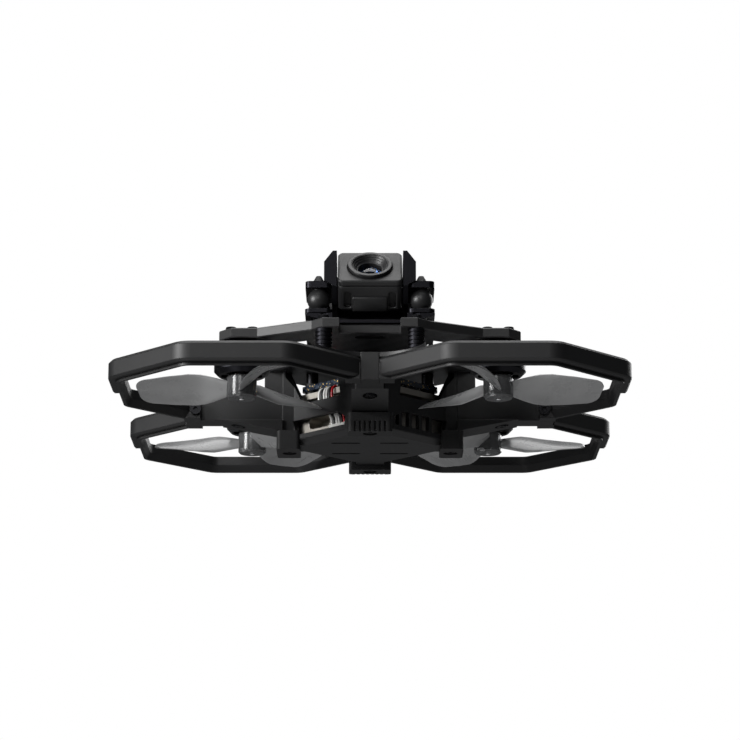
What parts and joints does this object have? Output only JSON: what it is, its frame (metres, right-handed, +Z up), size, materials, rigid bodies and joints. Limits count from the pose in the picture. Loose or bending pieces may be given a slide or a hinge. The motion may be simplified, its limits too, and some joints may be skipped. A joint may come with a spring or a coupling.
{
  "type": "fpv racing drone",
  "caption": "Ducted racing drone: rotors hang under a carbon plate inside an octagonal ring guard, a damped tilting camera at the nose and a slide-in battery on top.",
  "frame": {"origin": "on the ground under the middle of the four motor axes: the centre of the bounding box's bottom", "axes": "+X to the pilot's right, +Y to the tail, +Z up; the camera looks along -Y and up"},
  "size_m": [0.1538, 0.1536, 0.051],
  "materials": {
    "frame_plastic": "fine moulded grain",
    "bumper_rubber": "matt",
    "carbon": "satin twill carbon plate",
    "black_steel": "black oxide",
    "anodised": "black anodised",
    "steel": "ground",
    "copper": "enamelled copper wire",
    "smoked_blade": "smoked clear polycarbonate",
    "bare_aluminium": "bead blasted",
    "board": "solder mask",
    "black_plastic": "satin",
    "lens": "coated"
  },
  "bodies": {
    "airframe": {"air_unit_case": "bare_aluminium", "air_unit_fins": "bare_aluminium", "antenna_mount": "frame_plastic", "antennas": "black_plastic", "battery_tray": "frame_plastic", "belly_cover": "frame_plastic", "board_chips": "black_plastic", "board_grommets": "bumper_rubber", "bumper_front_left": "bumper_rubber", "bumper_front_right": "bumper_rubber", "bumper_rear_left": "bumper_rubber", "bumper_rear_right": "bumper_rubber", "camera_bracket": "anodised", "camera_cage": "anodised", "capacitor": "black_plastic", "chassis": "frame_plastic", "cross_bolts": "black_steel", "damper_balls": "bumper_rubber", "flight_board": "board", "frame_screws": "black_steel", "guard_front_left": "frame_plastic", "guard_front_right": "frame_plastic", "guard_rear_left": "frame_plastic", "guard_rear_right": "frame_plastic", "landing_pads": "bumper_rubber", "motor_base_front_left": "anodised", "motor_base_front_right": "anodised", "motor_base_rear_left": "anodised", "motor_base_rear_right": "anodised", "motor_leads": "black_plastic", "motor_screws": "black_steel", "pivot_screws": "black_steel", "power_socket": "frame_plastic", "stack_spacers": "black_steel", "standoffs": "anodised", "stator_cores": "steel", "tail_bumper_left": "bumper_rubber", "tail_bumper_right": "bumper_rubber", "top_plate": "carbon", "windings": "copper"},
    "rotor_front_left": {"bell_front_left": "anodised", "shaft_front_left": "steel", "propeller_front_left": "smoked_blade"},
    "rotor_front_right": {"bell_front_right": "anodised", "shaft_front_right": "steel", "propeller_front_right": "smoked_blade"},
    "rotor_rear_left": {"bell_rear_left": "anodised", "shaft_rear_left": "steel", "propeller_rear_left": "smoked_blade"},
    "rotor_rear_right": {"bell_rear_right": "anodised", "shaft_rear_right": "steel", "propeller_rear_right": "smoked_blade"},
    "camera": {"camera_body": "black_plastic", "camera_bezel": "black_plastic", "lens_barrel": "black_plastic", "lens_glass": "lens"},
    "battery": {"battery_case": "black_plastic"},
    "battery_button": {"battery_button": "black_plastic"},
    "link_button": {"link_button": "black_plastic"}
  },
  "joints": [
    {"name": "spin_front_left", "type": "hinge", "parent": "airframe", "child": "rotor_front_left", "pos_m": [-0.0383, -0.0382, 0.0152], "axis": [0, 0, 1], "continuous": true},
    {"name": "spin_front_right", "type": "hinge", "parent": "airframe", "child": "rotor_front_right", "pos_m": [0.0383, -0.0382, 0.0152], "axis": [0, 0, 1], "continuous": true},
    {"name": "spin_rear_left", "type": "hinge", "parent": "airframe", "child": "rotor_rear_left", "pos_m": [-0.0383, 0.0382, 0.0152], "axis": [0, 0, 1], "continuous": true},
    {"name": "spin_rear_right", "type": "hinge", "parent": "airframe", "child": "rotor_rear_right", "pos_m": [0.0383, 0.0382, 0.0152], "axis": [0, 0, 1], "continuous": true},
    {"name": "camera_tilt", "type": "hinge", "parent": "airframe", "child": "camera", "pos_m": [0, -0.04841, 0.04149], "axis": [-1, 0, 0], "range_deg": [-38, 10]},
    {"name": "battery_slide", "type": "slide", "parent": "airframe", "child": "battery", "axis": [0, 1, 0], "range_m": [0, 0.075]},
    {"name": "battery_button_press", "type": "slide", "parent": "battery", "child": "battery_button", "axis": [0, -1, 0], "range_m": [0, 0.0008]},
    {"name": "link_button_press", "type": "slide", "parent": "airframe", "child": "link_button", "axis": [-0.7071, -0.7071, 0], "range_m": [0, 0.0004]}
  ]
}
